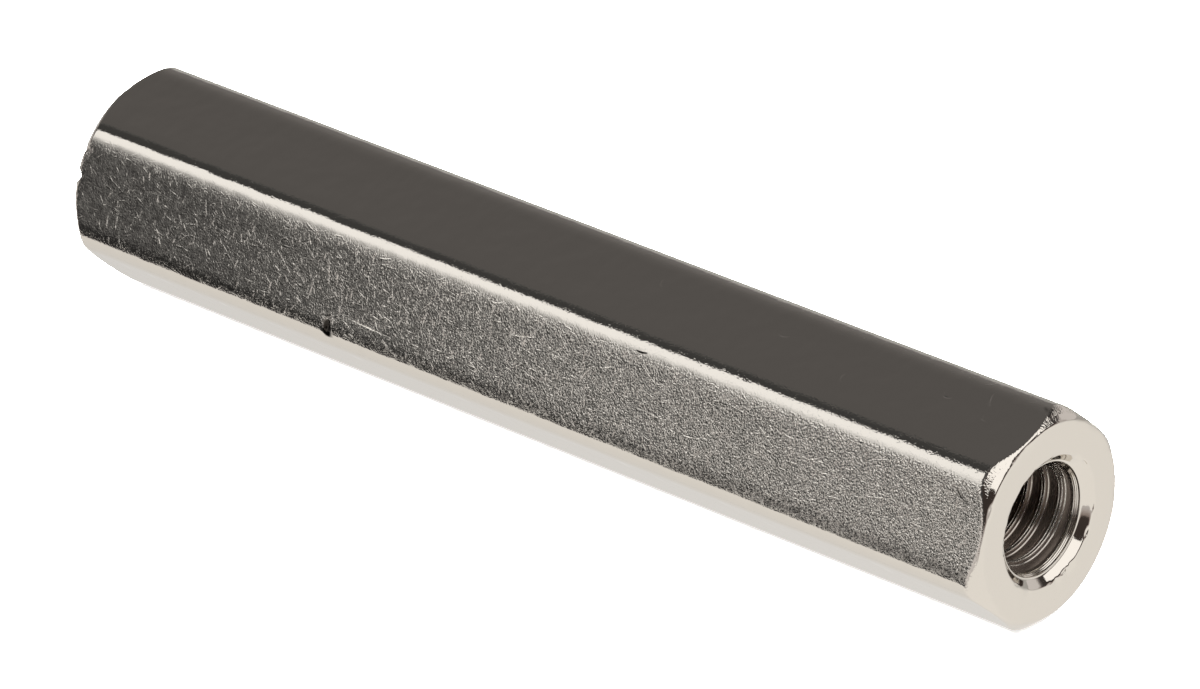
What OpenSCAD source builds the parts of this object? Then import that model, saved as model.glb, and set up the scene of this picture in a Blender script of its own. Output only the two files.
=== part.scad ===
// Hexagonal standoff (spacer), tapped at both ends.
// It lies on one flat with its axis along X. The origin is under its middle,
// on the surface that it lies on. All sizes are in millimetres.

/* [Bar] */
// Distance across the flats of the hexagon
across_flats = 7; // [6.5:0.5:12]
// Length from end face to end face
bar_length = 40; // [30:1:120]
// Radius of the long corners between two flats
corner_r = 1.3; // [0.3:0.1:2.2]

/* [Turned ends] */
// How far the rim of the end face lies inside the flats
face_inset = 0.07; // [0.03:0.01:0.5]
// Angle between the end chamfer and the bar's axis, in degrees
chamfer_angle = 45; // [30:1:60]

/* [Tapped holes] */
// Nominal thread diameter
thread_d = 4; // [2:0.5:5]
// Thread pitch, which with the diameter gives the tapping drill
thread_pitch = 0.7; // [0.4:0.05:1]
// Depth of each hole below its end face, without the drill point
hole_depth = 12; // [5:0.5:17]
// Full angle of the drill point, in degrees
drill_angle = 118; // [90:1:140]

/* [Hole mouths] */
// How far the countersink is wider than the thread, on each side
sink_margin = 0.3; // [0.1:0.05:0.6]
// Full angle of the countersink, in degrees
sink_angle = 90; // [60:5:120]

/* [Hidden] */
$fn = 96;

FLATS = 6;
// Strips that stand for the arc of one long corner
CORNER_STEPS = 12;
flat_r = across_flats / 2;
face_r = flat_r - face_inset;

// Each long corner is an arc whose centre lies on the line to the sharp corner
corner_step = 360 / FLATS;
corner_at = (flat_r - corner_r) / cos(corner_step / 2);
bar_r = corner_at + corner_r;

// The tapping drill leaves the thread's crests about one pitch apart in diameter
core_r = (thread_d - thread_pitch) / 2;
sink_r = thread_d / 2 + sink_margin;
sink_depth = (sink_r - core_r) / tan(sink_angle / 2);
point_depth = core_r / tan(drill_angle / 2);

// Cutting tools start and solids end this far past the faces that they cut
over = 1;

// Section of the drawn bar: a hexagon whose corners are arcs, a flat towards +X
module bar_section() {
    polygon([
        for (i = [0 : FLATS - 1], j = [0 : CORNER_STEPS])
            let (corner = (i + 0.5) * corner_step, turn = corner + (j / CORNER_STEPS - 0.5) * corner_step)
            corner_at * [cos(corner), sin(corner)] + corner_r * [cos(turn), sin(turn)]
    ]);
}

// What the lathe leaves: a round bar whose ends are faced and chamfered
module turned_envelope() {
    envelope_r = bar_r + over;
    chamfer_l = (envelope_r - face_r) / tan(chamfer_angle);
    end = bar_length / 2;
    rotate_extrude()
        polygon([
            [0, -end], [face_r, -end], [envelope_r, -end + chamfer_l],
            [envelope_r, end - chamfer_l], [face_r, end], [0, end]
        ]);
}

// Space cut by the countersink and the tapping drill, with the end face at Z = 0
module hole_cutter() {
    rotate_extrude()
        polygon([
            [0, over], [sink_r, over], [sink_r, 0], [core_r, -sink_depth],
            [core_r, -hole_depth], [0, -hole_depth - point_depth]
        ]);
}

module standoff() {
    color("silver")
        translate([0, 0, flat_r])
            rotate([0, 90, 0])
                difference() {
                    intersection() {
                        linear_extrude(height = bar_length + 2 * over, center = true)
                            bar_section();
                        turned_envelope();
                    }
                    for (turn = [0, 180])
                        rotate([turn, 0, 0]) translate([0, 0, bar_length / 2]) hole_cutter();
                }
}

standoff();
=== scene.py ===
# A nickel-plated brass hex standoff, tapped M4 at both ends, on a pale floor.
# The standoff lies on one flat with its axis along X. Sizes are worked out in
# millimetres and turned into metres where they enter Blender.

import math

import bpy
from mathutils import Matrix, Vector


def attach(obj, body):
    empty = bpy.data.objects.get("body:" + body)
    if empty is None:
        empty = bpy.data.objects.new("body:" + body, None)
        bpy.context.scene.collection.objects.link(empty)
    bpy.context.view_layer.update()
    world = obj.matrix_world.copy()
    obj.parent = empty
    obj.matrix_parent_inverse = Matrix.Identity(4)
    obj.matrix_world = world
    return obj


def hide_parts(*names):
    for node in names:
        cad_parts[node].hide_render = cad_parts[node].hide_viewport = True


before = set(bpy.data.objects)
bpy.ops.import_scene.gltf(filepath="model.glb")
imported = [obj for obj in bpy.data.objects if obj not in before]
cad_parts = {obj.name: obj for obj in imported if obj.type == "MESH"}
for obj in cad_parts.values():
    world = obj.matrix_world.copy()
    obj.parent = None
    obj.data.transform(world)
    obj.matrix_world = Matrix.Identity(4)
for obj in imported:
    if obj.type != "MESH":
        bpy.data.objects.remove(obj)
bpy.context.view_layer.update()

MM = 0.001

# Sizes of the standoff, in millimetres
ACROSS_FLATS = 7.0
LENGTH = 40.0
CORNER_RADIUS = 1.3
FACE_INSET = 0.07
THREAD_DIAMETER = 4.0
PITCH = 0.7
SINK_MARGIN = 0.3
HOLE_DEPTH = 12.0
TAPPED_DEPTH = 8.0

# Angle of the drill's point, in degrees
DRILL_ANGLE = 118.0

# The countersink grows steeper at RING_DEPTH and meets the thread at MOUTH_DEPTH.
# BAND_SLOPE is how much it narrows with depth between the two.
RING_DEPTH = 0.3
MOUTH_DEPTH = 0.52
BAND_SLOPE = math.tan(math.radians(30))

# Length of the bar at each end that is shaped together with its chamfer
COLLAR = 1.2

# Picks the pattern of the chips along the edges
SEED = 7

# On the map of the skin the end faces lie this far along x, and the bores this far
# along y. Everything else on the map lies below MAP_SPLIT.
MAP_SHIFT = 60.0
MAP_SPLIT = 50.0


# ---------------------------------------------------------------- node maths

# Sockets of a Mix node that mixes colours
MIX_SHARE = 0
MIX_FIRST = 6
MIX_SECOND = 7
MIX_COLOUR = 2


class Wire:
    """The output of a node. Arithmetic on it adds Math nodes to its tree."""

    def __init__(self, bench, socket):
        self.bench = bench
        self.socket = socket

    def __add__(self, other):
        return self.bench.math("ADD", self, other)

    def __radd__(self, other):
        return self.bench.math("ADD", other, self)

    def __sub__(self, other):
        return self.bench.math("SUBTRACT", self, other)

    def __rsub__(self, other):
        return self.bench.math("SUBTRACT", other, self)

    def __mul__(self, other):
        return self.bench.math("MULTIPLY", self, other)

    def __rmul__(self, other):
        return self.bench.math("MULTIPLY", other, self)

    def __truediv__(self, other):
        return self.bench.math("DIVIDE", self, other)

    def __pow__(self, other):
        return self.bench.math("POWER", self, other)

    def __neg__(self):
        return self.bench.math("MULTIPLY", self, -1.0)

    def __abs__(self):
        return self.bench.math("ABSOLUTE", self)

    def __gt__(self, other):
        return self.bench.math("GREATER_THAN", self, other)

    def __lt__(self, other):
        return self.bench.math("LESS_THAN", self, other)


class Bench:
    """A node tree, and the ways in which nodes are added to it."""

    def __init__(self, tree):
        self.tree = tree

    def plug(self, socket, value):
        if isinstance(value, Wire):
            self.tree.links.new(value.socket, socket)
        elif value is not None:
            socket.default_value = value

    def node(self, kind, settings=None, inputs=None, out=0):
        """Adds a node. Its settings come first, then its sockets by name or number."""
        made = self.tree.nodes.new(kind)
        for name, value in (settings or {}).items():
            if name == "stops":
                set_stops(made, value)
            else:
                setattr(made, name, value)
        for name, value in (inputs or {}).items():
            self.plug(made.inputs[name], value)
        return Wire(self, made.outputs[out])

    def math(self, operation, *values):
        settings = {"operation": operation}
        return self.node("ShaderNodeMath", settings, dict(enumerate(values)))

    def sin(self, value):
        return self.math("SINE", value)

    def cos(self, value):
        return self.math("COSINE", value)

    def least(self, *values):
        return self.math("MINIMUM", *values)

    def most(self, *values):
        return self.math("MAXIMUM", *values)

    def between(self, value, low=0.0, high=1.0):
        return self.least(self.most(value, low), high)

    def fade(self, value, start, end):
        """0 where the value is at the start, 1 at the end, and straight between."""
        return self.between((value - start) / (end - start))

    def blend(self, share, first, second):
        return first + (second - first) * share

    def xyz(self, x, y, z):
        return self.node("ShaderNodeCombineXYZ", None, {0: x, 1: y, 2: z})

    def parts(self, vector):
        made = self.tree.nodes.new("ShaderNodeSeparateXYZ")
        self.plug(made.inputs[0], vector)
        return [Wire(self, socket) for socket in made.outputs]

    def vector(self, operation, first, second=None, out=0):
        settings = {"operation": operation}
        inputs = {0: first}
        if second is not None:
            inputs["Scale" if operation == "SCALE" else 1] = second
        return self.node("ShaderNodeVectorMath", settings, inputs, out)

    def noise(self, place, scale, detail, roughness):
        """Flat noise over a map."""
        return self.node(
            "ShaderNodeTexNoise",
            {"noise_dimensions": "2D"},
            {"Vector": place, "Scale": scale, "Detail": detail, "Roughness": roughness},
        )

    def tint(self, share, first, second):
        """The colour between two others."""
        settings = {"data_type": "RGBA"}
        inputs = {MIX_SHARE: share, MIX_FIRST: first, MIX_SECOND: second}
        return self.node("ShaderNodeMix", settings, inputs, MIX_COLOUR)

    def spot(self):
        """Where this is on its object, as x, y and z in metres."""
        return self.parts(self.node("ShaderNodeTexCoord", out="Object"))

    def table(self, index, values):
        """The value that stands at this place in a list of numbers."""
        made = self.tree.nodes.new("GeometryNodeIndexSwitch")
        made.data_type = "FLOAT"
        while len(made.index_switch_items) < len(values):
            made.index_switch_items.new()
        self.plug(made.inputs[0], index)
        for place, value in enumerate(values):
            made.inputs[place + 1].default_value = value
        return Wire(self, made.outputs[0])


def set_stops(ramp_node, stops):
    """Gives a colour ramp its stops, each a place and a grey value."""
    ramp = ramp_node.color_ramp
    while len(ramp.elements) < len(stops):
        ramp.elements.new(1.0)
    for element, (place, value) in zip(ramp.elements, stops):
        element.position = place
        element.color = (value, value, value, 1.0)


# ------------------------------------------------------------- the standoff

# Columns of the mesh on each rounded edge, on each flat, and all round the axis
ARC_COLUMNS = 10
FLAT_COLUMNS = 12
COLUMNS = 6 * (ARC_COLUMNS + FLAT_COLUMNS)

# Angle from one flat to the next
SECTOR = math.radians(60)
HALF_SECTOR = math.radians(30)

# Depth of the thread's first crest
CREST_START = 0.158

# How widely the edges are rounded: the edge of the end face and the edge between
# chamfer and bar at most, that edge where the chamfer runs out on a flat, and the
# rim of the countersink
EDGE_SOFT = 0.08
CORNER_SOFT = 0.16
FLAT_SOFT = 0.085
RIM_SOFT = 0.06

# The right end is sharper than FLAT_SOFT by this much, and the left end softer
SOFT_LEAN = 0.025

# Share of the chamfer's width that the rounding of its edges takes up
SOFT_SHARE = 0.45

# Deepest chip in an edge
DEEPEST_CHIP = 0.07

# Dents in the skin: place, reach along each axis and depth, all in millimetres.
# A depth below zero raises a burr.
DENTS = [
    ((-8.05, -3.74, 3.92), (0.13, 0.25, 0.17), 0.20),
    ((-7.84, -3.72, 4.00), (0.06, 0.20, 0.18), -0.035),
    ((-19.94, -2.25, 6.18), (0.20, 0.08, 0.08), 0.15),
    ((-19.68, -2.39, 6.36), (0.20, 0.08, 0.08), 0.15),
    ((-19.95, -2.84, 5.43), (0.20, 0.09, 0.09), 0.18),
    ((-19.97, 0.30, 7.00), (0.10, 0.14, 0.10), 0.03),
    ((0.64, 2.55, 6.70), (0.08, 0.10, 0.10), -0.05),
    ((19.97, 1.02, 6.95), (0.10, 0.10, 0.10), 0.07),
    ((19.97, 1.44, 6.90), (0.16, 0.16, 0.10), 0.06),
    ((20.00, -0.82, 6.83), (0.07, 0.10, 0.07), 0.06),
    ((20.00, -0.28, 6.91), (0.06, 0.10, 0.05), 0.04),
    ((20.00, 0.32, 6.94), (0.07, 0.10, 0.06), 0.06),
    ((20.00, 0.57, 1.25), (0.08, 0.09, 0.09), 0.05),
    ((20.00, 0.32, 1.18), (0.08, 0.06, 0.08), 0.06),
    ((20.00, -0.20, 1.20), (0.08, 0.10, 0.08), 0.05),
    ((20.00, -1.50, 1.84), (0.08, 0.16, 0.10), 0.05),
]


def thread_profile():
    """Offsets along the axis and rises from the crest over one pitch of thread.

    A shallow seam splits the crest into two beads, and the flank that faces the
    mouth carries a low ridge below them.
    """
    root = [(-0.35, 0.35), (-0.3, 0.345), (-0.28, 0.332), (-0.178, 0.16)]
    ridge = [(-0.163, 0.134), (-0.145, 0.12), (-0.127, 0.105), (-0.115, 0.084)]
    bead = [(-0.082, 0.03), (-0.06, 0.014), (-0.035, 0.0), (-0.015, 0.0)]
    seam = [(0.0, 0.012), (0.012, 0.03), (0.025, 0.03), (0.045, 0.014)]
    far_side = [(0.065, 0.0), (0.08, 0.004), (0.1, 0.033), (0.265, 0.318), (0.3, 0.345)]
    return root + ridge + bead + seam + far_side


def bar_places():
    """Places along the bar, closer together where there is a dent."""
    spacing = 0.8
    least_gap = 0.02
    clear_of_end = 1
    near = (-2.5, -1.7, -1.2, -0.8, -0.4, 0.0, 0.4, 0.8, 1.2, 1.7, 2.5)
    reach = LENGTH / 2 - COLLAR
    steps = round(2 * reach / spacing)
    places = [reach * (2 * step / steps - 1) for step in range(steps + 1)]
    for centre, spread, _ in DENTS:
        if abs(centre[0]) < reach - clear_of_end:
            places += [centre[0] + spread[0] * share for share in near]
    places.sort()
    kept = [places[0]]
    for place in places[1:]:
        if place - kept[-1] > least_gap:
            kept.append(place)
    return kept


def standoff_tree():
    """The geometry of the standoff: two tapped ends and the bar between them."""
    tree = bpy.data.node_groups.new("tapped_hex_bar", "GeometryNodeTree")
    sizes = {}

    def take(name, value, kind="NodeSocketFloat"):
        item = tree.interface.new_socket(name=name, in_out="INPUT", socket_type=kind)
        if value is not None:
            item.default_value = value
        sizes[name] = item.identifier

    take("Geometry", None, "NodeSocketGeometry")
    take("Across flats", ACROSS_FLATS)
    take("Length", LENGTH)
    take("Corner radius", CORNER_RADIUS)
    take("Face inset", FACE_INSET)
    take("Thread diameter", THREAD_DIAMETER)
    take("Pitch", PITCH)
    take("Countersink margin", SINK_MARGIN)
    take("Hole depth", HOLE_DEPTH)
    take("Tapped depth", TAPPED_DEPTH)
    take("Seed", float(SEED))
    take("Finish", None, "NodeSocketMaterial")
    tree.interface.new_socket(
        name="Geometry", in_out="OUTPUT", socket_type="NodeSocketGeometry"
    )
    bench = Bench(tree)
    given = tree.nodes.new("NodeGroupInput")

    def size(name):
        return Wire(bench, given.outputs[name])

    flat_radius = size("Across flats") / 2.0
    length = size("Length")
    corner = size("Corner radius")
    face_radius = flat_radius - size("Face inset")
    root_radius = size("Thread diameter") / 2.0
    pitch = size("Pitch")
    core_radius = (size("Thread diameter") - pitch) / 2.0
    sink_radius = root_radius + size("Countersink margin")

    def grid(rows):
        """A sheet of columns round the axis and rows along the skin."""
        sheet = bench.node(
            "GeometryNodeMeshGrid",
            None,
            {"Size X": 1.0, "Size Y": 1.0, "Vertices X": COLUMNS + 1, "Vertices Y": rows},
        )
        index = bench.node("GeometryNodeInputIndex")
        column = bench.math("FLOOR", (index + 0.5) / float(rows))
        row = index - column * float(rows)
        return sheet, column, row

    def outline(column):
        """Radius and angle of the hexagon's rounded outline at each column."""
        turn = column / float(COLUMNS // 6)
        sector = bench.math("FLOOR", turn + 0.00001)
        along = (turn - sector) * 2.0 - 1.0
        arc_share = ARC_COLUMNS / (ARC_COLUMNS + FLAT_COLUMNS)
        tilt = bench.between(along / arc_share, -1.0, 1.0) * HALF_SECTOR
        beyond = bench.most(abs(along) - arc_share, 0.0) / (1 - arc_share)
        side = bench.math("SIGN", along)
        spread = beyond ** 1.25
        shift = spread * side * (flat_radius - corner) * math.tan(HALF_SECTOR)
        centre = (flat_radius - corner) / math.cos(HALF_SECTOR)
        out = centre + corner * bench.cos(tilt) - shift * bench.sin(tilt)
        across = corner * bench.sin(tilt) + shift * bench.cos(tilt)
        radius = bench.math("SQRT", out * out + across * across)
        angle = bench.math("ARCTAN2", across, out) + sector * SECTOR
        return radius, angle

    def even(column):
        """The angle of each column where they are evenly spaced."""
        return column * (2 * math.pi / COLUMNS) - HALF_SECTOR

    def place(sheet, x, radius, angle, skin):
        """Moves the sheet's points, and keeps their place on the skin in millimetres."""
        y = radius * bench.cos(angle)
        z = radius * bench.sin(angle)
        if skin == "face":
            flat = bench.xyz(y + MAP_SHIFT, z, 0.0)
        elif skin == "bore":
            flat = bench.xyz(x, angle * root_radius + MAP_SHIFT, 0.0)
        else:
            flat = bench.xyz(x, angle * flat_radius, 0.0)
        moved = bench.node(
            "GeometryNodeSetPosition",
            None,
            {"Geometry": sheet, "Position": bench.xyz(x, y, z + flat_radius)},
        )
        at_points = bench.node(
            "GeometryNodeFieldOnDomain",
            {"data_type": "FLOAT_VECTOR", "domain": "POINT"},
            {0: flat},
        )
        return bench.node(
            "GeometryNodeStoreNamedAttribute",
            {"data_type": "FLOAT2", "domain": "CORNER"},
            {"Geometry": moved, "Name": "skin", "Value": at_points},
        )

    def thread_part():
        """The tapped wall, on rows that follow the helix."""
        profile = thread_profile()
        count = len(profile)
        turns = math.ceil((TAPPED_DEPTH - MOUTH_DEPTH) / PITCH) + 2
        sheet, column, row = grid(count * turns)
        angle = even(column)
        turn = bench.math("FLOOR", (row + 0.5) / float(count))
        step = bench.math("ROUND", row - turn * float(count))
        end = size("Tapped depth")
        depth = CREST_START + pitch * (turn - angle / (2 * math.pi))
        depth = depth + bench.table(step, [along for along, rise in profile])
        depth = bench.between(depth, MOUTH_DEPTH, end)
        # The thread fades out over its last two turns
        run_out = bench.between((end - depth) / (pitch * 2.0))
        rise = bench.table(step, [rise for along, rise in profile])
        radius = core_radius + rise * run_out
        # The wall starts at the mouth with the radius that the countersink has there
        past_mouth = depth - MOUTH_DEPTH
        mouth = sink_radius - RING_DEPTH - (MOUTH_DEPTH - RING_DEPTH) * BAND_SLOPE
        radius = bench.least(radius, mouth + past_mouth)
        radius = bench.most(radius, mouth - past_mouth * BAND_SLOPE)
        return place(sheet, length / 2.0 - depth, radius, angle, "bore")

    def drill_part():
        """The plain wall below the thread, and the cone that the drill leaves."""
        wall = [0.0, 0.5, 0.98, 1.0]
        tip = [0.97, 0.7, 0.4, 0.15, 0.0]
        sheet, column, row = grid(len(wall) + len(tip))
        down = bench.table(row, wall + [1.0] * len(tip))
        wide = bench.table(row, [1.0] * len(wall) + tip)
        end = size("Tapped depth")
        slope = math.tan(math.radians(DRILL_ANGLE / 2))
        depth = end + (size("Hole depth") - end) * down
        depth = depth + core_radius * (1.0 - wide) / slope
        angle = even(column)
        return place(sheet, length / 2.0 - depth, core_radius * wide, angle, "bore")

    def chips(angle, scale, least_height, reach, lift):
        """How far an edge is chipped back, all round the axis.

        The lift moves the pattern, so that each edge has its own chips.
        """
        round_axis = bench.xyz(bench.cos(angle), bench.sin(angle), lift)
        noise = bench.node(
            "ShaderNodeTexNoise",
            {"noise_dimensions": "4D"},
            {"Vector": round_axis, "W": size("Seed"), "Scale": scale, "Detail": 2.0},
        )
        return bench.between((noise - least_height) * reach, 0.0, DEEPEST_CHIP)

    def face_part(side):
        """The flat end face and the countersink, from the chamfer inwards.

        The first row lies on the chamfer. Each of the others lies at the edge of the
        face or at the rim of the countersink, give or take an offset, and has values
        that say how much it is rounded, chipped or lifted.
        """
        bend = [1.0, 0.66, 0.33, 0.0, -0.33, -0.66, -1.0]
        chipped = [0.0, 0.3, 0.8, 1.0, 0.8, 0.3, 0.0]
        flat = [-0.2, -0.45]
        approach = [0.3, 0.12]
        cone = [-0.1, -0.17, -0.24, -0.265]
        bead = [(-0.285, 0.004), (-0.3, 0.018), (-0.32, 0.027)]
        bead += [(-0.34, 0.02), (-0.36, 0.004)]
        band = [(-0.38, 0.0), (-0.395, 0.014), (-0.41, 0.0), (-0.43, 0.0)]
        band += [(-0.445, 0.01), (-0.46, 0.0), (-0.5, 0.0), (-MOUTH_DEPTH, 0.0)]
        rows = [{"seam": 1.0}]
        rows += [{"edge": 1.0, "soft": k, "chip": c} for k, c in zip(bend, chipped)]
        rows += [{"edge": 1.0, "offset": offset} for offset in flat]
        rows += [{"rim": 1.0, "offset": offset} for offset in approach]
        rows += [{"rim": 1.0, "soft": k, "chip": c} for k, c in zip(bend, chipped)]
        rows += [{"rim": 1.0, "offset": offset} for offset in cone]
        for kind, steps in (("bead", bead), ("lift", band)):
            for offset, lift in steps:
                slip = max(-offset - RING_DEPTH, 0.0) * (1 - BAND_SLOPE)
                rows.append({"rim": 1.0, "offset": offset, kind: lift, "slip": slip})
        sheet, column, row = grid(len(rows))
        reach, angle_out = outline(column)

        def told(name):
            return bench.table(row, [given_row.get(name, 0.0) for given_row in rows])

        at_edge = told("edge")
        at_rim = told("rim")
        soft_edge = bench.least((reach - face_radius) * SOFT_SHARE, EDGE_SOFT)
        soft = told("soft") * (soft_edge * at_edge + RIM_SOFT * at_rim)
        middle = face_radius * at_edge + sink_radius * at_rim
        seam = told("seam") * (reach + face_radius) / 2.0
        radius = seam + middle + soft + told("offset")
        outer = bench.math("SMOOTH_MAX", radius - face_radius, 0.0, soft_edge)
        inner = bench.math("SMOOTH_MAX", sink_radius - radius, 0.0, RIM_SOFT)
        # The columns are even at the rim and follow the hexagon at the edge
        margin = 0.05
        ring = face_radius - sink_radius - 2 * margin
        share = bench.between((radius - sink_radius - margin) / ring)
        angle = bench.blend(share, even(column), angle_out)
        wear_and_painted_light = chips(angle, 9.0, 0.55, 0.2, 6.0 - 6.0 * side) * at_edge
        wear_and_painted_light = wear_and_painted_light + chips(angle, 6.0, 0.54, 0.5, 9.0 - 6.0 * side) * at_rim
        wear_and_painted_light = wear_and_painted_light * told("chip")
        # Tool marks show only on the lower side of the countersink
        tooled = bench.between(bench.cos(angle + math.radians(75)) * 1.5)
        lift = told("bead") + told("lift") * tooled
        depth = outer + inner + wear_and_painted_light - lift
        radius = radius - wear_and_painted_light * at_edge + wear_and_painted_light * at_rim - lift + told("slip")
        return place(sheet, (length / 2.0 - depth) * side, radius, angle, "face")

    def collar_part(side):
        """The end of the bar, from the last plain section out to the chamfer."""
        stops = [1.0, 0.8, 0.6, 0.45, 0.33, 0.25]
        bend = [1.0, 0.75, 0.5, 0.25, 0.0, -0.33, -0.66, -1.0]
        sheet, column, row = grid(len(stops) + len(bend) + 1)
        reach, angle = outline(column)
        chamfer = reach - face_radius
        narrow = chamfer * SOFT_SHARE
        soft = bench.least(narrow + FLAT_SOFT - SOFT_LEAN * side, CORNER_SOFT)
        narrow = bench.least(narrow, CORNER_SOFT)
        share = bench.table(row, stops + [0.0] * (len(bend) + 1))
        above = [0.0] * len(stops) + [max(k, 0.0) for k in bend] + [0.0]
        below = [0.0] * len(stops) + [min(k, 0.0) for k in bend] + [0.0]
        offset = bench.table(row, above) * soft + bench.table(row, below) * narrow
        at_seam = bench.table(row, [0.0] * (len(stops) + len(bend)) + [1.0])
        depth = chamfer + (COLLAR - chamfer) * share + offset
        depth = depth * (1.0 - at_seam) + chamfer * 0.5 * at_seam
        radius = bench.math("SMOOTH_MIN", reach, face_radius + depth, soft)
        radius = bench.blend(at_seam, radius, face_radius + chamfer * 0.5)
        return place(sheet, (length / 2.0 - depth) * side, radius, angle, "bar")

    def bar_part():
        """The plain bar between the two ends."""
        places = bar_places()
        sheet, column, row = grid(len(places))
        reach, angle = outline(column)
        return place(sheet, bench.table(row, places), reach, angle, "bar")

    def dented(sheet):
        """Presses the dents into the skin, each a bell-shaped hollow."""
        here = bench.node("GeometryNodeInputPosition")
        push = None
        for centre, spread, deep in DENTS:
            away = bench.vector("SUBTRACT", here, centre)
            away = bench.vector("DIVIDE", away, spread)
            away = bench.vector("LENGTH", away, out="Value")
            bell = bench.math("EXPONENT", -(away * away))
            # Towards the axis, and at the ends along it as well
            inward = -4.0 * (centre[0] / (LENGTH / 2)) ** 9
            aim = Vector((inward, -centre[1], ACROSS_FLATS / 2 - centre[2]))
            aim = aim.normalized() * deep
            moved = bench.vector("SCALE", tuple(aim), bell)
            push = moved if push is None else bench.vector("ADD", push, moved)
        return bench.node(
            "GeometryNodeSetPosition", None, {"Geometry": sheet, "Offset": push}
        )

    def join(parts):
        made = tree.nodes.new("GeometryNodeJoinGeometry")
        for part in parts:
            tree.links.new(part.socket, made.inputs[0])
        return Wire(bench, made.outputs[0])

    right_hole = join([thread_part(), drill_part()])
    left_hole = bench.node(
        "GeometryNodeTransform",
        None,
        {"Geometry": right_hole, "Rotation": (0.0, 0.0, math.pi)},
    )
    right_end = join([collar_part(1.0), face_part(1.0)])
    left_end = join([collar_part(-1.0), face_part(-1.0)])
    left_end = bench.node("GeometryNodeFlipFaces", None, {"Mesh": left_end})
    whole = join([right_end, left_end, right_hole, left_hole, bar_part()])
    # The parts meet in rows of points that lie in the same places
    weld = 0.0008
    whole = bench.node(
        "GeometryNodeMergeByDistance", None, {"Geometry": whole, "Distance": weld}
    )
    whole = dented(whole)
    whole = bench.node("GeometryNodeSetShadeSmooth", None, {"Geometry": whole})
    whole = bench.node(
        "GeometryNodeTransform", None, {"Geometry": whole, "Scale": (MM, MM, MM)}
    )
    whole = bench.node("GeometryNodeRealizeInstances", None, {"Geometry": whole})
    whole = bench.node(
        "GeometryNodeSetMaterial", None, {"Geometry": whole, "Material": size("Finish")}
    )
    result = tree.nodes.new("NodeGroupOutput")
    tree.links.new(whole.socket, result.inputs[0])
    return tree, sizes


def make_standoff(finish):
    """Evaluates the tree once and keeps its result as a plain mesh."""
    tree, sizes = standoff_tree()
    maker = bpy.data.objects.new("maker", bpy.data.meshes.new("maker"))
    bpy.context.scene.collection.objects.link(maker)
    modifier = maker.modifiers.new("tapped_hex_bar", "NODES")
    modifier.node_group = tree
    modifier[sizes["Finish"]] = finish
    graph = bpy.context.evaluated_depsgraph_get()
    mesh = bpy.data.meshes.new_from_object(
        maker.evaluated_get(graph), preserve_all_data_layers=True, depsgraph=graph
    )
    bpy.data.objects.remove(maker)
    mesh.name = "hex_standoff"
    piece = bpy.data.objects.new("hex_standoff", mesh)
    bpy.context.scene.collection.objects.link(piece)
    return piece


# ----------------------------------------------------------------- finishes


def new_finish(name):
    """A material with only its output node left in it."""
    finish = bpy.data.materials.new(name)
    finish.use_nodes = True
    finish.node_tree.nodes.clear()
    bench = Bench(finish.node_tree)
    output = finish.node_tree.nodes.new("ShaderNodeOutputMaterial")
    return finish, bench, output


# Layers of tumbling scratches: size of a cell, half width and half length of the
# scratch in it, its bend, the layer's shift, and the share of cells that hold one.
SCRATCHES = [
    (0.13, 0.024, 0.07, 1.5, 0.0, 1.0),
    (0.17, 0.026, 0.11, 1.2, 5.9, 1.0),
    (0.24, 0.030, 0.17, 1.5, 11.3, 1.0),
    (0.36, 0.034, 0.26, 1.2, 23.9, 1.0),
    (0.75, 0.034, 0.50, 0.7, 37.1, 0.6),
]

# Layers with cells below this size fade faster towards the left
SMALL_CELL = 0.2

# Single scratches: place along the bar, angle round it in degrees, turn in degrees,
# half length and half width in millimetres, bend, and depth. A scratch with a depth
# above zero holds dirt and painted shade, and one with a depth below zero carries a
# painted glint.
GOUGES = [
    (5.28, 124.2, -4.0, 0.24, 0.035, 0.3, 1.5),
    (-8.06, 175.4, 82.0, 0.30, 0.23, 0.2, 1.0),
    (17.55, 74.3, 62.0, 0.30, 0.05, 0.6, -2.2),
    (16.10, 83.0, 20.0, 0.24, 0.05, 2.5, -1.6),
    (17.90, 88.0, 40.0, 0.16, 0.05, 3.0, -1.4),
    (12.40, 96.0, 75.0, 0.20, 0.045, 2.0, -1.3),
    (9.30, 84.0, 10.0, 0.26, 0.05, 2.0, -1.3),
    (3.90, 80.0, 55.0, 0.18, 0.045, 2.5, -1.3),
    (19.50, 67.4, 30.0, 0.16, 0.09, 0.0, 0.18),
    (19.66, 66.4, 70.0, 0.14, 0.09, 0.0, 0.2),
    (18.90, 133.3, 35.0, 0.30, 0.03, 0.8, 2.5),
    (-6.36, 166.3, 2.6, 1.15, 0.03, 0.02, -1.5),
    (0.30, 139.0, -12.0, 0.50, 0.03, 0.5, -1.5),
]

# Bright lines along the thread: offset from the crest and half width
THREAD_LINES = [(-0.145, 0.020), (-0.06, 0.022), (0.047, 0.018)]

# Middle of the flat that carries the tumbling scratches, as an angle round the bar
FRONT_FLAT = math.radians(150)

# Colours of the plating's grain, with painted shade where it leans down and painted
# highlight where it leans up, of darker blotches and painted shade on it, of dirt and
# painted shade in its scratches, and of the thread's grooves near the mouth and deep down
GRAIN_PAINTED_SHADE = (0.36, 0.34, 0.309, 1.0)
GRAIN_PAINTED_HIGHLIGHT = (0.96, 0.904, 0.821, 1.0)
DARK_BLOTCH_AND_SHADE = (0.22, 0.203, 0.188, 1.0)
DIRT_AND_SHADE = (0.03, 0.026, 0.022, 1.0)
GROOVE_AT_MOUTH = (0.05, 0.037, 0.028, 1.0)
GROOVE_DEEP = (0.15, 0.11, 0.084, 1.0)


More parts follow.
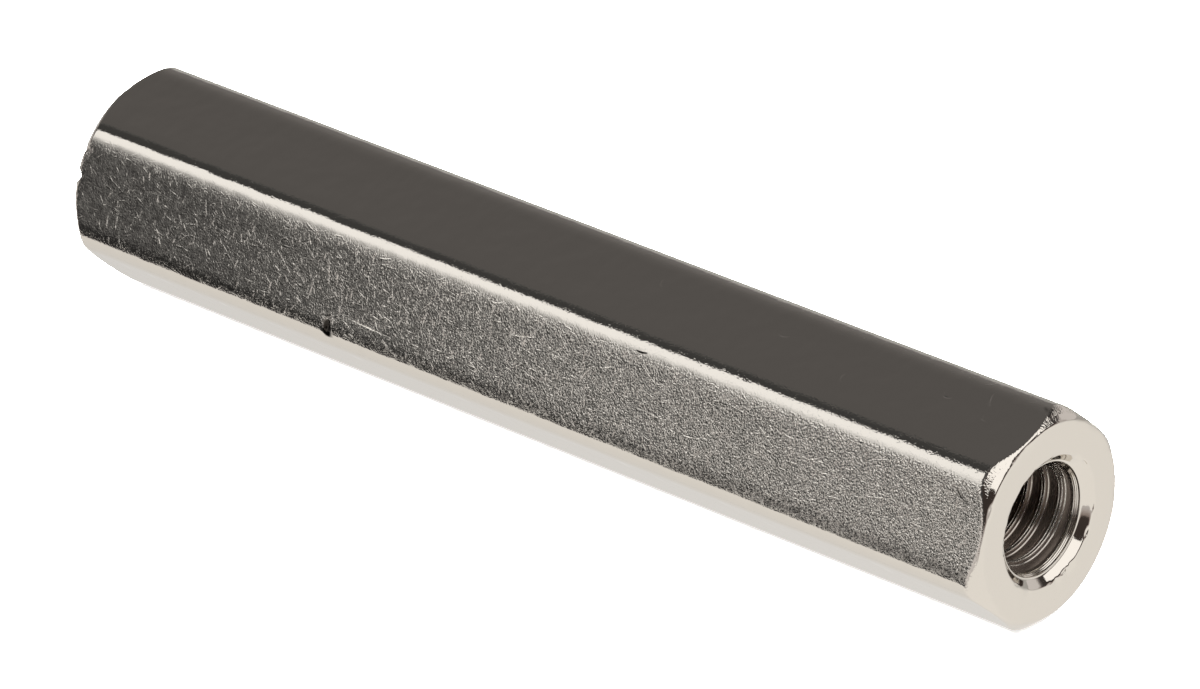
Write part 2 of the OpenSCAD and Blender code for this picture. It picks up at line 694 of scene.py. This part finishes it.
def scratch_layer(bench, skin, cell, width, reach, bend, shift, share):
    """Ridges and grooves, each turned its own way: their height and upward lean."""
    moved = bench.vector("ADD", skin, (shift, shift * 0.7, 0.0))
    cells = bench.node(
        "ShaderNodeTexVoronoi",
        {"voronoi_dimensions": "2D", "feature": "F1"},
        {"Vector": moved, "Scale": 1.0 / cell, "Randomness": 1.0},
    )
    made = cells.socket.node
    middle = Wire(bench, made.outputs["Position"])
    turn, kind, weight = bench.parts(Wire(bench, made.outputs["Color"]))
    x, y = bench.parts(bench.vector("SUBTRACT", moved, middle))[:2]
    angle = turn * math.pi
    along = x * bench.cos(angle) + y * bench.sin(angle)
    across = y * bench.cos(angle) - x * bench.sin(angle)
    across = across + along * along * ((kind - 0.5) * bend)
    line = 1.0 - bench.between(abs(across) / width)
    ends = 1.0 - bench.between(abs(along) / reach)
    there = kind < share
    # Ridges where the weight is above zero and grooves where it is below
    weight = weight * 2.0 - 0.9
    strength = bench.math("SQRT", ends) * weight * abs(weight) * 1.7 * there
    # How far each side of the line leans up towards the light; it sets the painted shade and
    # highlight in the colour
    lean = bench.between(across / width, -1.0, 1.0) * line * bench.cos(angle) * -4.0
    return line * strength, lean * strength


def gouge(bench, x, y, shape):
    """One scratch of its own, from 0 off it to 1 along its middle."""
    middle, degrees, turn, half_length, half_width, bend = shape
    turn = math.radians(turn)
    x = x - middle
    y = y - math.radians(degrees) * ACROSS_FLATS / 2
    along = x * math.cos(turn) + y * math.sin(turn)
    across = y * math.cos(turn) - x * math.sin(turn) + along * along * bend
    line = 1.0 - bench.between(abs(across) / half_width)
    ends = 1.0 - bench.between(abs(along) / half_length)
    return line * bench.math("SQRT", ends)


def off_chamfers(bench, x):
    """1 on the bar and the faces, fading to 0 on the chamfers at its ends."""
    across, up = bench.spot()[1:]
    up = up / MM - ACROSS_FLATS / 2
    across = across / MM
    radius = bench.math("SQRT", across * across + up * up)
    chamfer = ACROSS_FLATS / 2 - FACE_INSET + LENGTH / 2 - abs(x)
    return bench.fade(chamfer - radius, 0.03, 0.11)


def tumbled(bench, skin, fine):
    """Height and upward lean of the fine grain and the layers of scratches."""
    grain_scale = 14.0
    step_down = 0.03
    lower = bench.vector("ADD", skin, (0.0, step_down, 0.0))
    grain = bench.noise(skin, grain_scale, 1.0, 0.8)
    grain_below = bench.noise(lower, grain_scale, 1.0, 0.8)
    relief = (grain - 0.5) * 2.4 * fine
    # The grain's upward lean, which sets its painted shade and highlight in the colour
    lean = (grain_below - grain) * 3.6 * fine
    for layer in SCRATCHES:
        height, slope = scratch_layer(bench, skin, *layer)
        gain = fine * fine if layer[0] < SMALL_CELL else 0.1 + 0.85 * fine
        relief = relief + height * gain
        lean = lean + slope * gain
    return relief, lean


def gouged(bench, x, y):
    """The single scratches: how deep they cut, which hold dirt and painted shade, and which
    carry painted glints.
    """
    cut = dirt_and_shade = bright = None
    for *shape, depth in GOUGES:
        line = gouge(bench, x, y, shape)
        deep = line * abs(depth)
        cut = deep if cut is None else cut + deep
        if depth > 0:
            line = line * min(depth, 1.0)
            dirt_and_shade = line if dirt_and_shade is None else dirt_and_shade + line
        else:
            bright = line if bright is None else bright + line
    return cut, dirt_and_shade, bright


def thread_lines(bench, depth, y):
    """How bright the thread is kept: partly on its lines, and not in its grooves."""
    turn = (y - MAP_SHIFT) / (THREAD_DIAMETER / 2)
    turns = (depth - CREST_START) / PITCH + turn / (2 * math.pi)
    off_crest = (turns - bench.math("ROUND", turns)) * PITCH
    soft = 0.01
    bright = None
    for offset, width in THREAD_LINES:
        line = bench.between((width - abs(off_crest - offset)) / soft)
        bright = line if bright is None else bench.most(bright, line)
    return bright * 0.55


def nickel_plate():
    """Bright nickel plating with the fine scratches of tumbling, and the light and shade of
    its grain partly painted into its colour.
    """
    finish, bench, output = new_finish("nickel_plate")
    skin = bench.node("ShaderNodeUVMap", {"uv_map": "skin"})
    x, y = bench.parts(skin)[:2]
    theta = y / (ACROSS_FLATS / 2)
    sin_theta = bench.sin(theta)
    # Angle off the middle of the nearest flat, in degrees
    sector = theta / SECTOR
    off_flat = abs(sector - bench.math("ROUND", sector + 0.5) + 0.5) * 60.0

    # Where each kind of surface is. The front flat is rubbed further on its lower side,
    # and its rubbed part also carries the painted light and shade of its grain.
    on_bar = (x < MAP_SPLIT) * (y < MAP_SPLIT)
    on_bore = (x < MAP_SPLIT) * (y > MAP_SPLIT)
    off_chamfer = off_chamfers(bench, x)
    lower_side = (theta > FRONT_FLAT) * (theta < math.pi)
    limit = 26.0 + lower_side * 2.0
    on_flat = bench.between((limit - off_flat) / 3.0) * on_bar * off_chamfer
    front = bench.between(bench.cos(theta - FRONT_FLAT) * 14.0 - 11.2)
    rubbed_with_painted_light = on_flat * front
    upper_edge = bench.fade(off_flat, 20.0, 24.0) * bench.fade(sin_theta, 0.2, 0.7)
    chamfered = (1.0 - off_chamfer) * on_bar

    # Relief. The fine grain is fainter towards the left end.
    fine = bench.between(0.75 + x / 60.0, 0.4, 1.0)
    relief, lean = tumbled(bench, skin, fine)
    cut, dirt_and_shade, bright = gouged(bench, x, y)
    share = 0.015 + upper_edge * 0.12 + chamfered * 0.2 + rubbed_with_painted_light
    swell = bench.noise(skin, 1.1, 1.0, 0.5) * bench.fade(sin_theta, -0.6, -0.1)
    height = relief * share + swell * on_bar * 1.8 - cut
    bump = bench.node(
        "ShaderNodeBump",
        None,
        {"Strength": 1.0, "Distance": 0.00001, "Height": height},
    )

    # Painted light and shade of the rubbed flat: painted light on its ridges and shade in
    # its grooves, more to the left, painted shade and highlight on the slopes of its grain,
    # painted glints on the bright scratches, and soft painted blotches of light and dark
    # where the grain is faint
    blotches_small = bench.noise(skin, 5.0, 2.0, 0.6)
    pale = bench.between(0.25 - x / 40.0, 0.0, 0.6) * 0.5
    wear_and_painted_light = relief * pale + lean * bench.between(0.6 + x / 30.0, 0.6, 1.1)
    wear_and_painted_light = wear_and_painted_light + bench.between(bright) * 0.5
    wear_and_painted_light = wear_and_painted_light + (blotches_small - 0.5) * 3.4 * bench.between(1.05 - fine)
    wear_and_painted_light = bench.between(wear_and_painted_light, -0.5, 0.5)
    colour = bench.tint(0.5 + wear_and_painted_light * rubbed_with_painted_light, GRAIN_PAINTED_SHADE, GRAIN_PAINTED_HIGHLIGHT)

    # Darker in blotches towards the left, and painted shade along the flat's lower edge
    blotches = bench.noise(skin, 1.7, 3.0, 0.6)
    blotch_and_shade = 0.3 * bench.fade(x, 1.4, -12.6) + 0.1 * bench.fade(x, -8.0, -13.0)
    blotch_and_shade = blotch_and_shade * bench.between((blotches - 0.3) * 3.0 + 0.25)
    # Painted shade along the flat's lower edge, stronger towards the right
    low = 0.55 * bench.fade(theta, math.radians(166), math.radians(174))
    blotch_and_shade = (blotch_and_shade + low * bench.fade(x, -12.0, 18.0)) * rubbed_with_painted_light
    colour = bench.tint(blotch_and_shade, colour, DARK_BLOTCH_AND_SHADE)
    # Dirt and painted shade inside the dark scratches and the nick
    colour = bench.tint(bench.between(dirt_and_shade * 3.0) * 0.98 * on_bar, colour, DIRT_AND_SHADE)

    # The plating is thin and dull in the thread's grooves, bright on its ridges
    depth = LENGTH / 2 - x
    dull = on_bore * (1.0 - thread_lines(bench, depth, y))
    groove = bench.tint(bench.fade(depth, 0.9, 2.5), GROOVE_AT_MOUTH, GROOVE_DEEP)
    colour = bench.tint(dull * 0.96, colour, groove)
    shader = bench.node(
        "ShaderNodeBsdfPrincipled",
        None,
        {
            "Base Color": colour,
            "Metallic": 1.0 - dull * 0.12,
            "Roughness": 0.06 + rubbed_with_painted_light * 0.02 + dull * 0.25,
            "Normal": bump,
        },
    )
    bench.plug(output.inputs["Surface"], shader)
    return finish


def floor_paper():
    """Pale matt paper, lit a little from below so that its shadows stay faint."""
    finish, bench, output = new_finish("floor_paper")
    shader = bench.node(
        "ShaderNodeBsdfPrincipled",
        None,
        {
            "Base Color": (0.9, 0.9, 0.9, 1.0),
            "Roughness": 0.9,
            "Emission Color": (1.0, 1.0, 1.0, 1.0),
            "Emission Strength": 0.6,
        },
    )
    bench.plug(output.inputs["Surface"], shader)
    return finish


def glow(name, strength, tint=(1.0, 0.98, 0.95)):
    """A glowing finish. Its strength is a number, or a function that makes a pattern."""
    finish, bench, output = new_finish(name)
    if callable(strength):
        strength = strength(bench)
    light = bench.node(
        "ShaderNodeEmission", None, {"Color": (*tint, 1.0), "Strength": strength}
    )
    bench.plug(output.inputs["Surface"], light)
    return finish


def ramp(bench, value, low, high, stops):
    """A value that follows straight lines between stops, as value goes low to high."""
    reach = max(level for place, level in stops)
    share = bench.between((value - low) / (high - low))
    scaled = [((place - low) / (high - low), level / reach) for place, level in stops]
    made = bench.node("ShaderNodeValToRGB", {"stops": scaled}, {"Fac": share})
    return made * reach


# ------------------------------------------------------------------- studio

# Direction of the right-hand softbox from the standoff
RIGHT_AIM = (0.7152, 0.2745, 0.6428)
WHITE = (1.0, 1.0, 1.0)


def panel(name, points, finish, shown_to=("glossy",), faces=None):
    """A sheet of the studio, seen only by some kinds of ray.

    Without faces of its own it is one face that joins all its points.
    """
    mesh = bpy.data.meshes.new(name)
    faces = faces or [tuple(range(len(points)))]
    mesh.from_pydata([tuple(point) for point in points], [], faces)
    mesh.materials.append(finish)
    sheet = bpy.data.objects.new(name, mesh)
    bpy.context.scene.collection.objects.link(sheet)
    sheet.visible_camera = "camera" in shown_to
    sheet.visible_glossy = "glossy" in shown_to
    sheet.visible_diffuse = "diffuse" in shown_to
    sheet.visible_shadow = "shadow" in shown_to
    sheet.visible_transmission = False


def facing_panel(name, direction, distance, across, along, finish):
    """A panel that faces the standoff, with its reach to each side of the line there."""
    away = Vector(direction).normalized()
    side = Vector((0, 0, 1)).cross(away).normalized()
    up = away.cross(side)
    middle = Vector((0, 0, ACROSS_FLATS / 2 * MM)) + away * distance
    corners = [
        middle + side * across[0] + up * along[0],
        middle + side * across[1] + up * along[0],
        middle + side * across[1] + up * along[1],
        middle + side * across[0] + up * along[1],
    ]
    panel(name, corners, finish)


def curved_panel(name, radius, angles, sides, finish):
    """Part of a tube round the standoff's axis, between two angles over the front."""
    start, end = angles
    left, right = sides
    steps = 24
    rows = []
    for step in range(steps + 1):
        turn = math.radians(start + (end - start) * step / steps)
        y = -radius * math.cos(turn)
        z = radius * math.sin(turn) + ACROSS_FLATS / 2 * MM
        rows.append([(left, y, z), (right, y, z)])
    points = [point for row in rows for point in row]
    faces = [(2 * i, 2 * i + 1, 2 * i + 3, 2 * i + 2) for i in range(steps)]
    panel(name, points, finish, faces=faces)


def left_light(bench):
    """Bright high over the front, fading down from there, and dim from near overhead on.

    The stops give the light at angles up from straight ahead, in degrees. It fades
    less in the part nearer the standoff, and least at that part's end.
    """
    x, y, z = bench.spot()
    turn = bench.math("ARCTAN2", z, -y) * (180 / math.pi)
    low, top, back = -37, 92, 104
    far = [(low, 0.03), (-5, 0.035), (10, 0.125), (25, 0.12), (33, 0.17)]
    far += [(41, 0.34), (49, 0.62), (53, 0.95), (57, 1.2), (62, 1.28), (top, 1.28)]
    near = [(low, 0.04), (-5, 0.05), (10, 0.26), (25, 0.28), (33, 0.45)]
    near += [(41, 0.77), (49, 1.02), (53, 1.17), (57, 1.27), (62, 1.28), (top, 1.28)]
    far = ramp(bench, turn, low, top, far)
    near = ramp(bench, turn, low, top, near)
    front = bench.blend(bench.fade(x, -0.2, -0.174), far, near)
    at_end = bench.fade(x, -0.1, -0.085)
    front = bench.blend(at_end, front, 1.2 * bench.fade(turn, -5.0, 10.0))
    edge = [(76, 1.0), (77, 1.0), (79, 0.045), (97, 0.05), (back, 0.095)]
    return front * ramp(bench, turn, 76, back, edge)


def floor_light(bench):
    """Pale, brightest at the front on the right, with a lighter strip behind on the left."""
    x, y = bench.spot()[:2]
    slope = bench.between(x * 0.512 - y * 0.464 + 1.019, 0.5, 1.1)
    strip = bench.fade(y, 0.172, 0.202) * bench.fade(y, 0.45, 0.35) * (x < 0.0)
    return slope + strip * 0.22


def room_light(bench, direction):
    """What shows between the lights: its strength, and how brown it is.

    It is dim above, dimmer to the right and pale below, and pale low down behind,
    ahead and on the left.
    """
    x, y, z = bench.parts(direction)
    low, top = -0.2, 1.0
    left = [(low, 0.72), (-0.14, 0.5), (-0.02, 0.2), (0.04, 0.2), (0.12, 0.2)]
    left += [(0.4, 0.15), (0.63, 0.127), (top, 0.12)]
    right = [(low, 0.72), (-0.14, 0.72), (0.0, 0.55), (0.1, 0.3), (0.13, 0.06)]
    right += [(0.5, 0.05), (0.9, 0.08), (top, 0.1)]
    left = ramp(bench, z, low, top, left)
    right = ramp(bench, z, low, top, right)
    behind = bench.fade(y, 0.87, 0.93) * bench.fade(z, 0.25, 0.15)
    ahead = bench.fade(y, -0.88, -0.93) * bench.fade(z, 0.45, 0.35)
    leftward = bench.fade(x, -0.82, -0.88) * bench.fade(z, 0.1, 0.0)
    to_right = bench.fade(x, -0.1, 0.3)
    pale = bench.most(bench.most(behind, ahead), leftward)
    brown = bench.fade(x, 0.3, 0.6) * bench.fade(z, -0.05, 0.15) * (1.0 - pale)
    return bench.blend(pale, bench.blend(to_right, left, right), 0.8), brown


def aim_camera():
    """The camera, looking down at the right-hand end. Lengths are in millimetres."""
    azimuth = math.radians(48.97699)
    elevation = math.radians(38.75318)
    roll = math.radians(-14.46476)
    distance = 321.829
    shift_right = 0.6586
    shift_up = -0.1625
    back = Vector(
        (
            math.sin(azimuth) * math.cos(elevation),
            -math.cos(azimuth) * math.cos(elevation),
            math.sin(elevation),
        )
    )
    level = Vector((math.cos(azimuth), math.sin(azimuth), 0.0))
    rise = back.cross(level)
    right = math.cos(roll) * level + math.sin(roll) * rise
    up = -math.sin(roll) * level + math.cos(roll) * rise
    middle = Vector((0.0, 0.0, ACROSS_FLATS / 2))
    place = (middle + back * distance + right * shift_right + up * shift_up) * MM
    data = bpy.data.cameras.new("camera")
    data.sensor_fit = "HORIZONTAL"
    data.sensor_width = 36.0
    data.lens = 289.948
    data.clip_start = 10.0 * MM
    data.clip_end = 10000.0 * MM
    camera = bpy.data.objects.new("camera", data)
    bpy.context.scene.collection.objects.link(camera)
    turn = Matrix((right, up, back)).transposed().to_4x4()
    camera.matrix_world = Matrix.Translation(place) @ turn
    bpy.context.scene.camera = camera


def backdrop(radius):
    """A pale dome round the floor. Only the camera sees it."""
    around = 48
    levels = 12
    points = []
    for level in range(levels):
        rise = math.radians(90 * level / levels)
        for step in range(around):
            turn = 2 * math.pi * step / around
            out = radius * math.cos(rise)
            height = radius * math.sin(rise)
            points.append((out * math.cos(turn), out * math.sin(turn), height))
    points.append((0, 0, radius))
    faces = []
    for level in range(levels - 1):
        for step in range(around):
            first = level * around + step
            second = level * around + (step + 1) % around
            faces.append((first, first + around, second + around, second))
    last = (levels - 1) * around
    peak = len(points) - 1
    for step in range(around):
        faces.append((last + step, peak, last + (step + 1) % around))
    pale = glow("backdrop_glow", 0.97, WHITE)
    panel("backdrop", points, pale, ("camera",), faces)


def build_studio():
    """The floor, the backdrop and the lights."""
    half = 1.2
    corners = [(-half, -half, 0), (half, -half, 0), (half, half, 0), (-half, half, 0)]
    panel("floor", corners, floor_paper(), ("camera", "diffuse", "shadow"))
    backdrop(1.25)

    over = bpy.data.lights.new("overhead", "AREA")
    over.shape = "SQUARE"
    over.size = 1.4
    over.energy = 200.0
    lamp = bpy.data.objects.new("overhead", over)
    bpy.context.scene.collection.objects.link(lamp)
    lamp.location = (0, 0, 1.0)
    lamp.visible_glossy = False
    lamp.visible_camera = False

    world = bpy.data.worlds.new("studio")
    bpy.context.scene.world = world
    world.use_nodes = True
    background = world.node_tree.nodes["Background"]
    bench = Bench(world.node_tree)
    direction = bench.node("ShaderNodeTexCoord", out="Generated")
    strength, brown = room_light(bench, direction)
    tint = bench.tint(brown, (1.0, 0.955, 0.945, 1.0), (1.0, 0.78, 0.7, 1.0))
    bench.plug(background.inputs["Color"], tint)
    bench.plug(background.inputs["Strength"], strength)

    left_glow = glow("left_glow", left_light, WHITE)
    curved_panel("left_softbox", 0.25, (-36.7, 104), (-0.45, -0.03), left_glow)
    right_glow = glow("right_glow", 1.42, (1.0, 0.985, 0.975))
    across = (-0.49, 0.57)
    along = (-0.25, 0.45)
    facing_panel("right_softbox", RIGHT_AIM, 0.8, across, along, right_glow)
    deep = -0.4
    front = -0.503
    far = 3
    corners = [(-far, front), (0, front), (far, -far), (far, far), (-far, far)]
    corners = [(x, y, deep) for x, y in corners]
    panel("floor_reflector", corners, glow("floor_glow", floor_light))


# --------------------------------------------------------------------- main

standoff = make_standoff(nickel_plate())
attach(standoff, "root")
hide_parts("standoff")
aim_camera()
build_studio()
bpy.context.scene.view_settings.view_transform = "Standard"
